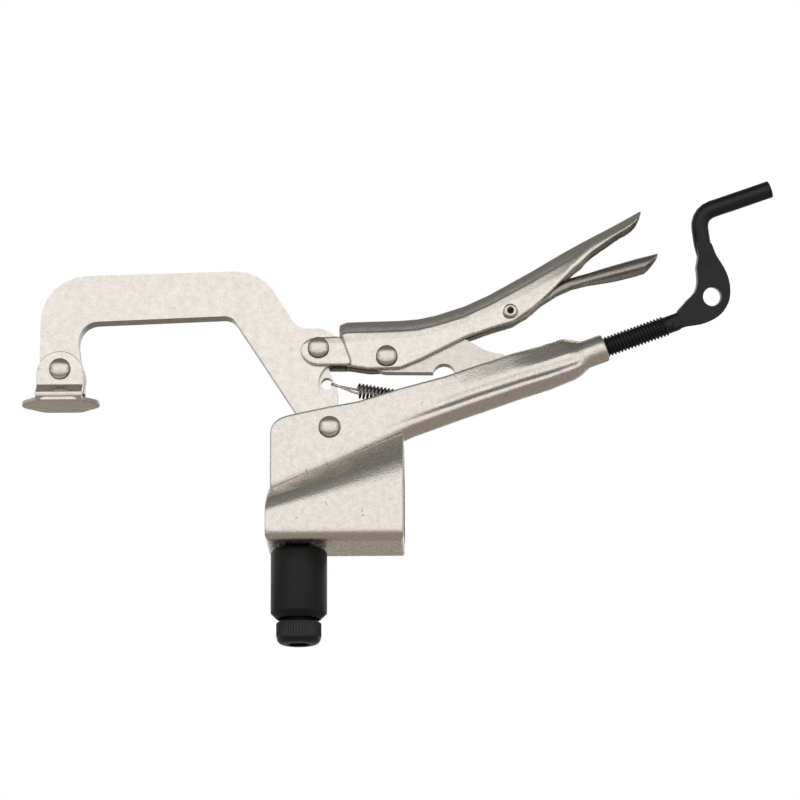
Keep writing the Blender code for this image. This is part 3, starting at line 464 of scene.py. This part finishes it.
rivets = {
    "main": {"pivot": (8.8, 34.3), "body": "base", "node": "main_rivet"},
    "jawLever": {"pivot": (5.6, 57.5), "body": "jaw", "node": "jaw_lever_rivet"},
    "link": {"pivot": (25.1, 55.2), "body": "lever", "node": "link_rivet"},
    "pad": {"pivot": (-68.2, 51.8), "body": "jaw", "node": "pad_rivet"},
}
rivetSize = {"shank": 2.3, "height": 1.4, "rim": (2.84, 3.2)}     # mm; where the rim meets the plate, a ring of painted shade
rivetDome = [   # radius and height of the upset head, mm
    (2.98, 0.0), (3.05, 0.08), (3.03, 0.24), (2.92, 0.4), (2.78, 0.55), (2.55, 0.74), (2.26, 0.92), (1.9, 1.08),
    (1.45, 1.22), (0.95, 1.32), (0.5, 1.37), (0.0, 1.39),
]
tubeSize = {"pivot": (60.5, 68.1), "shank": 1.5, "bore": 0.85, "height": 0.7, "blind": 1.5}
tubeLip = [     # radius and height of the rolled lip, mm
    (0.85, 0.0), (0.86, 0.42), (0.98, 0.62), (1.2, 0.7), (1.5, 0.66), (1.8, 0.5), (2.0, 0.25), (2.05, 0.0),
]


def turned(name, profile, steps=56):
    # a half section drawn point by point (radius, height in mm), then spun round the Z axis
    bpy.ops.object.select_all(action="DESELECT")
    bpy.ops.mesh.primitive_plane_add(size=0.0001)
    piece = bpy.context.active_object
    bpy.ops.object.mode_set(mode="EDIT")
    bpy.ops.mesh.select_all(action="SELECT")
    bpy.ops.mesh.merge(type="CENTER")
    bpy.ops.transform.translate(value=(profile[0][0] * mm, 0, profile[0][1] * mm))
    for before, after in zip(profile, profile[1:]):
        step = ((after[0] - before[0]) * mm, 0, (after[1] - before[1]) * mm)
        bpy.ops.mesh.extrude_vertices_move(TRANSFORM_OT_translate={"value": step})
    bpy.ops.mesh.select_all(action="SELECT")
    bpy.ops.mesh.spin(steps=steps, angle=2 * pi, center=(0, 0, 0), axis=(0, 0, 1))
    bpy.ops.mesh.select_all(action="SELECT")
    bpy.ops.mesh.remove_doubles(threshold=0.000002)
    bpy.ops.mesh.normals_make_consistent(inside=False)
    bpy.ops.object.mode_set(mode="OBJECT")
    piece.name = name
    return piece


def acrossAt(piece, pivot):
    # the spun piece's axis is laid along Y, through a pivot of the XZ plane
    piece.rotation_euler = (radians(90), 0, 0)
    piece.location = (pivot[0] * mm, 0, pivot[1] * mm)
    return piece


for key, spec in rivets.items():
    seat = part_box(spec["node"])[1][1] / mm - rivetSize["height"]
    section = [(0.0, -seat - rivetSize["height"])] + [(r, -seat - h) for r, h in reversed(rivetDome[:-1])]
    section += [(rivetSize["shank"], -seat), (rivetSize["shank"], seat)] + [(r, seat + h) for r, h in rivetDome]
    head = settle(acrossAt(turned("rivet_" + key, section), spec["pivot"]), "rivet_" + key, 40)
    dress(head, spec["body"], polishedNickel, "bright_nickel", spec["node"])
    # painted shade: a dark ring where the head meets the plate
    ringFaces(head, spec["pivot"], paintedShadeNickel, *rivetSize["rim"])

# the tubular rivet: rolled lips round a blind hole at each end
shank, bore, blind = tubeSize["shank"], tubeSize["bore"], tubeSize["blind"]
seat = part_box("release_rivet")[1][1] / mm - tubeSize["height"]
section = [(0.0, seat - blind - 0.1), (bore, seat - blind)] + [(r, seat + h) for r, h in tubeLip]
section += [(shank, seat), (shank, -seat)] + [(r, -seat - h) for r, h in reversed(tubeLip)]
section += [(bore, blind - seat), (0.0, blind + 0.1 - seat)]
tube = settle(acrossAt(turned("rivetTube", section, 40), tubeSize["pivot"]), "rivetTube", 40)
dress(tube, "lever", polishedNickel, "bright_nickel", "release_rivet")
# painted shade: the blind holes are painted black
ringFaces(tube, tubeSize["pivot"], blackForged, -1.0, 0.9)
print("rivets turned")


# table fixing

sleeveSize = {"radius": 8.0, "bore": 4.5, "top": -0.3, "bottom": -20.3, "topChamfer": 1.0, "bottomChamfer": 1.7}


def makeSleeve():
    size = sleeveSize
    r, bore, top, bottom = size["radius"], size["bore"], size["top"], size["bottom"]
    a, b = size["topChamfer"], size["bottomChamfer"]
    section = [
        (bore, top), (r - a, top), (r - a * 0.45, top - a * 0.35), (r - 0.08, top - a), (r, top - a - 0.15),
        (r, bottom + b + 0.2), (r - 0.12, bottom + b - 0.1), (r - b * 0.75, bottom + b * 0.3),
        (r - b, bottom + 0.05), (r - b - 0.35, bottom + 0.02),
        (6.0, bottom + 0.5), (5.8, bottom + 1.4), (bore, bottom + 1.5), (bore, top),     # countersunk for the head
    ]
    piece = settle(turned("sleeveTurned", section, 96), "sleeveTurned", 30)
    dress(piece, "base", blackTurned, "black_oxide", "locating_sleeve")


headSize = {
    "radius": 6.4, "top": -20.6, "bottom": -27.5,
    "socket": 6.0, "rim": 3.47, "depth": 4.0,     # hexagon across flats, the round it starts from, and its depth
    "teeth": 54, "knurl": 0.24,
}
shankSize = {"radius": 4.0, "pitch": 1.25, "start": -19.5, "tip": 0.7}


def makeHead():
    # socket head: a knurled drum with a wide rounding below and a hexagon pressed in
    size = headSize
    r, top, bottom, rimRadius = size["radius"], size["top"], size["bottom"], size["rim"]
    section = [
        (0.0, top + 1.6), (4.0, top + 1.6), (4.0, top + 0.2), (5.5, top - 0.05), (5.7, top - 0.5),
        (r - 0.25, top - 0.75), (r, top - 1.0), (r, bottom + 2.3), (r - 0.1, bottom + 1.7),
        (r - 0.35, bottom + 1.05), (r - 0.8, bottom + 0.5), (r - 1.4, bottom + 0.15), (r - 2.1, bottom),
        (rimRadius, bottom),
    ]
    piece = turned("capScrewHead", section, size["teeth"] * 2)
    onlySelect(piece)
    mesh = piece.data
    # every second edge line of the drum is pushed in for the knurl
    for vertex in mesh.vertices:
        x, y, z = vertex.co
        reach = hypot(x, y) / mm
        if abs(reach - r) < 0.02 and top - 0.9 > z / mm > bottom + 2.0:
            turn = round(atan2(y, x) / (2 * pi) * size["teeth"] * 2)
            if turn % 2:
                vertex.co.x *= (r - size["knurl"]) / r
                vertex.co.y *= (r - size["knurl"]) / r
    bm = bmesh.new()
    bm.from_mesh(mesh)
    rim = [v for v in bm.verts if abs(hypot(v.co.x, v.co.y) / mm - rimRadius) < 0.02]
    # the socket's walls are six flats, so its rim is drawn on to a hexagon
    for v in rim:
        a = atan2(v.co.y, v.co.x)
        flat = (a % radians(60)) - radians(30)
        reach = size["socket"] / 2 / cos(flat) * mm
        v.co.x, v.co.y = cos(a) * reach, sin(a) * reach
    edges = [e for e in bm.edges if len(e.link_faces) == 1 and all(v in rim for v in e.verts)]
    made = bmesh.ops.extrude_edge_only(bm, edges=edges)
    deep = [v for v in made["geom"] if isinstance(v, bmesh.types.BMVert)]
    for v in deep:
        v.co.z += size["depth"] * mm
    floor = [e for e in bm.edges if all(v in deep for v in e.verts)]
    filled = bmesh.ops.contextual_create(bm, geom=floor)["faces"]
    bmesh.ops.poke(bm, faces=filled)
    bmesh.ops.recalc_face_normals(bm, faces=bm.faces)
    bm.to_mesh(mesh)
    bm.free()
    return settle(piece, "capScrewHead", 30)


threadSteps = 28      # points round one turn


def threadBody(name, radius, pitch, start, end, place=None):
    # a root cylinder with one helical ridge swept round it, both along Z and then put in place
    root = radius - 0.56 * pitch
    bpy.ops.object.select_all(action="DESELECT")
    bpy.ops.mesh.primitive_circle_add(vertices=4, radius=0.5 * mm)
    ridge = bpy.context.active_object
    corners = [(root - 0.05, -0.47 * pitch), (root - 0.05, 0.47 * pitch),
               (radius, 0.09 * pitch), (radius, -0.09 * pitch)]
    for vertex, (r, z) in zip(ridge.data.vertices, corners):
        vertex.co = (r * mm, 0, (start + z) * mm)
    wind = ridge.modifiers.new("wind", "SCREW")
    wind.angle = 2 * pi
    wind.screw_offset = pitch * mm
    wind.iterations = max(1, round((end - start) / pitch))
    wind.steps = wind.render_steps = threadSteps
    wind.axis = "Z"
    wind.use_merge_vertices = False
    wind.use_normal_calculate = True
    applyModifiers(ridge)
    onlySelect(ridge)
    bpy.ops.object.mode_set(mode="EDIT")
    bpy.ops.mesh.select_all(action="SELECT")
    bpy.ops.mesh.select_non_manifold()
    bpy.ops.mesh.edge_face_add()
    bpy.ops.mesh.select_all(action="SELECT")
    bpy.ops.mesh.normals_make_consistent(inside=False)
    bpy.ops.object.mode_set(mode="OBJECT")
    section = [(0, start - 0.2), (root - 0.2, start - 0.2), (root, start + 0.1), (root, end), (0, end)]
    core = turned("threadCore", section, threadSteps)
    onlySelect(ridge)
    core.select_set(True)
    bpy.ops.object.join()
    if place:
        ridge.data.transform(place)
    ridge.name = name
    return ridge


def joinPieces(name, first, *others):
    onlySelect(first)
    for piece in others:
        piece.select_set(True)
    bpy.ops.object.join()
    first.name = name
    return first


makeSleeve()
headPiece = makeHead()
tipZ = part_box("cap_screw")[1][2] / mm
shank = threadBody("capScrewThread", shankSize["radius"], shankSize["pitch"], shankSize["start"],
                   tipZ - shankSize["tip"])
screw = settle(joinPieces("capScrew", headPiece, shank), "capScrew", 30)
dress(screw, "base", blackThread, "black_oxide", "cap_screw")
print("table fixing made")


# adjusting screw: thread, and the forged crank from a remeshed copy of the solid

crankFrame = (Matrix.Translation((0, 0, crank["height"] * mm))
              @ Matrix.Rotation(-radians(crank["slope"]), 4, "Y")
              @ Matrix.Rotation(radians(crank["turn"]), 4, "X"))


def makeForging():
    # a merged copy of the solid without its plain shank, laid along X while it's worked on
    piece = mergedCopy("adjusting_screw", "crankForging")
    piece.data.transform(crankFrame.inverted())
    bpy.ops.object.mode_set(mode="EDIT")
    bpy.ops.mesh.select_all(action="SELECT")
    bpy.ops.mesh.bisect(plane_co=((crank["threadEnd"] - 1.0) * mm, 0, 0), plane_no=(1, 0, 0),
                        use_fill=True, clear_inner=True)
    bpy.ops.object.mode_set(mode="OBJECT")
    reskinned(piece, crank["voxel"], 0.6, crank["smooth"])
    # a round neck behind the thread; the die's flat runs on from the eye and comes out in the bar as a round lobe
    lobeStart, lobeEnd = crank["lobe"]
    for vertex in piece.data.vertices:
        along, across, above = (value / mm for value in vertex.co)
        allowed = crank["neck"] + max(0.0, along - crank["neckEnd"]) * crank["neckSpread"]
        if along < crank["neckEnd"] + 3 and hypot(across, above) > allowed:
            keep = allowed / hypot(across, above)
            vertex.co.y, vertex.co.z = across * keep * mm, above * keep * mm
            across *= keep
        if crank["flatReach"][0] < along < crank["flatReach"][1] and above < lobeEnd + 0.5:
            run = max(0.0, (above - lobeStart) / (lobeEnd - lobeStart))
            limit = crank["flat"] + run * (crank["barHalf"] - crank["flat"])
            if abs(across) > limit:
                vertex.co.y = limit * mm * (1 if across > 0 else -1)
    return piece


forging = makeForging()
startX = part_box("adjusting_screw")[0][0] / mm / cos(radians(crank["slope"])) + 0.4
layAlongX = Matrix.Rotation(radians(90), 4, "Y")
longThread = threadBody("crankThread", crank["radius"], crank["pitch"], startX + 1.0, crank["threadEnd"],
                        layAlongX)
joined = joinPieces("crankScrew", forging, longThread)
joined.data.transform(crankFrame)
settle(joined, "crankScrew", 60)
dress(joined, "screw", blackForged, "black_oxide", "adjusting_screw")
print("adjusting screw made")


# tension spring: a close coil of black wire, hooked through the jaw and on to the handle's tab

springSize = {
    "outer": 2.25, "wire": 0.36, "pitch": 1.06, "turns": 20,
    "slope": -10.0, "start": (16.8, 45.9), "anchorX": 43.5,
    "hookWire": 0.33, "web": 2.0,       # the hook's wire, and half the room that it needs beside the jaw's web
    "keep": 0.833,                      # what is left of the length when the jaw is wide open
}


def springPoint(along, above):
    slope = radians(springSize["slope"])
    x0, z0 = springSize["start"]
    return x0 + along * cos(slope) - above * sin(slope), z0 + along * sin(slope) + above * cos(slope)


def wirePiece(name, points, radius, sides=3):
    curve = bpy.data.curves.new(name, "CURVE")
    curve.dimensions = "3D"
    curve.bevel_depth = radius * mm
    curve.bevel_resolution = sides
    curve.use_fill_caps = True
    spline = curve.splines.new("POLY")
    spline.points.add(len(points) - 1)
    for target, point in zip(spline.points, points):
        target.co = (point[0] * mm, point[1] * mm, point[2] * mm, 1)
    piece = bpy.data.objects.new(name, curve)
    bpy.context.scene.collection.objects.link(piece)
    onlySelect(piece)
    bpy.ops.object.convert(target="MESH")
    return bpy.context.active_object


def makeSpring():
    size = springSize
    coil = size["outer"] - size["wire"]
    steps = 24
    coilPoints = []
    for k in range(size["turns"] * steps + 1):
        angle = 2 * pi * k / steps
        x, z = springPoint(k / steps * size["pitch"], coil * sin(angle))
        coilPoints.append((x, -coil * cos(angle), z))
    turns = wirePiece("springCoil", coilPoints, size["wire"])
    # the front hook: two strands from the first turn to the jaw's hole, one on each side of the web
    side, wire = size["web"], size["hookWire"]
    strand = [
        (17.3, -1.5, 44.7), (16.4, -1.25, 44.9), (15.2, -1.0, 45.35), (12.6, -1.5, 46.35), (10.6, -side, 47.1),
        (9.7, -side * 0.85, 47.5), (9.3, -side * 0.45, 47.7), (9.3, side * 0.45, 47.7), (9.7, side * 0.85, 47.8),
        (10.6, side, 47.75), (12.6, 1.5, 47.35), (15.2, 1.0, 46.75), (16.4, 1.25, 46.5), (17.3, 1.5, 46.2),
    ]
    hook = wirePiece("springHook", strand, wire)
    height = springPoint((size["anchorX"] - size["start"][0]) / cos(radians(size["slope"])), 0)[1]
    ex, ez = springPoint(size["turns"] * size["pitch"] + 0.4, 0)
    tail = [(ex - 0.4, -1.9, ez), (ex + 1.2, -1.95, ez - 0.1), (45.0, -1.93, height), (45.9, -1.3, height),
            (45.95, 1.3, height), (45.0, 1.93, height), (42.6, 1.93, height)]
    rear = wirePiece("springTail", tail, wire)
    dress(turns, "base", springWire, "black_oxide")
    dress(hook, "base", hookWire, "bright_nickel")
    dress(rear, "base", springWire, "black_oxide")
    whole = joinPieces("springCoil", turns, hook, rear)
    settle(whole, "springCoil", 50)
    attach(whole, "base")
    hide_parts("tension_spring")
    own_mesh(whole)


makeSpring()
print("spring made")


# stage, light and camera

studio = {
    "floorZ": -0.36,
    "target": Vector((28.77, 0.0, 43.11)) * mm,
    "azimuth": 1.0,
    "elevation": 13.0,       # the camera stands below the clamp and looks up at it
    "roll": -0.184,
    "distance": 1.2,
    "focalPixels": 4201.5,
    # brightness of the ceiling, the sides and the floor in front, as shares of the white wall
    "overhead": 0.17, "sides": 0.4, "frontFloor": 0.8,
    "ceilingFrom": 0.42, "ceilingTo": 0.78,      # height of the direction where the wall turns to ceiling
    "sideFrom": 0.55, "sideTo": 0.92,            # the same to the left and right
    "glowFrom": -0.4, "glowTo": -1.4,            # m, the floor's Y where it turns from matt to bright
    "paleness": 0.85,        # how pale a camera sees the floor
    "paper": "#DACFC2",
    "lampPlace": Vector((-0.5, -2.2, 0.6)), "lampSize": (2.4, 1.4), "lampPower": 1.0,
}


def makeStage():
    bpy.ops.object.select_all(action="DESELECT")
    bpy.ops.mesh.primitive_plane_add(size=14, location=(0, 0, studio["floorZ"]))
    floor = bpy.context.active_object
    floor.name = "floor"
    # matt paper, lit low: polished undersides mirror it as a warm grey
    paper = bpy.data.materials.new("palePaper")
    paper.use_nodes = True
    tree = paper.node_tree
    shader = tree.nodes["Principled BSDF"]
    shader.inputs["Base Color"].default_value = fromHex(studio["paper"])
    shader.inputs["Roughness"].default_value = 0.9
    # in front of the clamp the paper rises to the bright wall, which only mirrors see
    place = addNode(tree, "ShaderNodeSeparateXYZ", {},
                    {0: addNode(tree, "ShaderNodeTexCoord").outputs["Object"]})
    near = addNode(tree, "ShaderNodeMapRange",
                   {".interpolation_type": "SMOOTHSTEP",
                    "From Min": studio["glowFrom"], "From Max": studio["glowTo"]},
                   {"Value": place.outputs[1]})
    ray = addNode(tree, "ShaderNodeLightPath")
    mirrored = addNode(tree, "ShaderNodeMath", {".operation": "MULTIPLY"},
                       {0: near.outputs[0], 1: ray.outputs["Is Glossy Ray"]})
    # a camera that looks down on the floor sees it pale too
    seen = addNode(tree, "ShaderNodeMath", {".operation": "MULTIPLY_ADD", 1: studio["paleness"]},
                   {0: ray.outputs["Is Camera Ray"], 2: mirrored.outputs[0]})
    glow = addNode(tree, "ShaderNodeEmission",
                   {"Color": (1, 0.985, 0.965, 1), "Strength": studio["frontFloor"]})
    mixed = addNode(tree, "ShaderNodeMixShader", {},
                    {0: seen.outputs[0], 1: shader.outputs[0], 2: glow.outputs[0]})
    tree.links.new(mixed.outputs[0], tree.nodes["Material Output"].inputs["Surface"])
    floor.data.materials.append(paper)


def makeWorld():
    # white paper walls round the clamp and a dark ceiling; the camera sees plain white behind it
    world = bpy.data.worlds.new("whiteStudio")
    bpy.context.scene.world = world
    world.use_nodes = True
    tree = world.node_tree
    background = tree.nodes["Background"]
    ray = addNode(tree, "ShaderNodeSeparateXYZ", {},
                  {0: addNode(tree, "ShaderNodeTexCoord").outputs["Generated"]})
    fade = addNode(tree, "ShaderNodeMapRange",
                   {".interpolation_type": "SMOOTHSTEP", "From Min": studio["ceilingFrom"],
                    "From Max": studio["ceilingTo"], "To Min": 1.0, "To Max": studio["overhead"]},
                   {"Value": ray.outputs[2]})
    aside = addNode(tree, "ShaderNodeMath", {".operation": "ABSOLUTE"}, {0: ray.outputs[0]})
    sides = addNode(tree, "ShaderNodeMapRange",
                    {".interpolation_type": "SMOOTHSTEP", "From Min": studio["sideFrom"],
                     "From Max": studio["sideTo"], "To Min": 1.0, "To Max": studio["sides"]},
                    {"Value": aside.outputs[0]})
    level = addNode(tree, "ShaderNodeMath", {".operation": "MULTIPLY"}, {0: sides.outputs[0], 1: fade.outputs[0]})
    shown = addNode(tree, "ShaderNodeMath", {".operation": "MAXIMUM"},
                    {0: level.outputs[0], 1: addNode(tree, "ShaderNodeLightPath").outputs["Is Camera Ray"]})
    colour = addNode(tree, "ShaderNodeCombineColor", {},
                     {0: shown.outputs[0], 1: shown.outputs[0], 2: shown.outputs[0]})
    tree.links.new(colour.outputs[0], background.inputs["Color"])
    background.inputs["Strength"].default_value = 1.0


def viewDirection(azimuth, elevation):
    a, e = radians(azimuth), radians(elevation)
    return Vector((-sin(a) * cos(e), cos(a) * cos(e), sin(e)))


def addSoftLight(name, place, target, size, power):
    lamp = bpy.data.lights.new(name, "AREA")
    lamp.shape = "RECTANGLE"
    lamp.size, lamp.size_y = size
    lamp.energy = power
    holder = bpy.data.objects.new(name, lamp)
    bpy.context.scene.collection.objects.link(holder)
    holder.location = place
    holder.rotation_euler = (target - holder.location).to_track_quat("-Z", "Y").to_euler()
    return holder


def makeLights():
    lamp = addSoftLight("frontSoftbox", studio["lampPlace"], studio["target"], studio["lampSize"],
                        studio["lampPower"])
    lamp.visible_glossy = False      # the walls are what the metal mirrors


def makeCamera():
    lens = bpy.data.cameras.new("camera")
    lens.sensor_width = 36
    lens.lens = 36 * studio["focalPixels"] / 800
    lens.clip_end = 20
    holder = bpy.data.objects.new("camera", lens)
    bpy.context.scene.collection.objects.link(holder)
    look = viewDirection(studio["azimuth"], studio["elevation"])
    holder.location = studio["target"] - look * studio["distance"]
    rolled = look.to_track_quat("-Z", "Y").to_matrix() @ Matrix.Rotation(radians(studio["roll"]), 3, "Z")
    holder.rotation_euler = rolled.to_euler()
    bpy.context.scene.camera = holder


makeStage()
makeWorld()
makeLights()
makeCamera()
bpy.context.scene.view_settings.view_transform = "Standard"
print("stage, light and camera made")
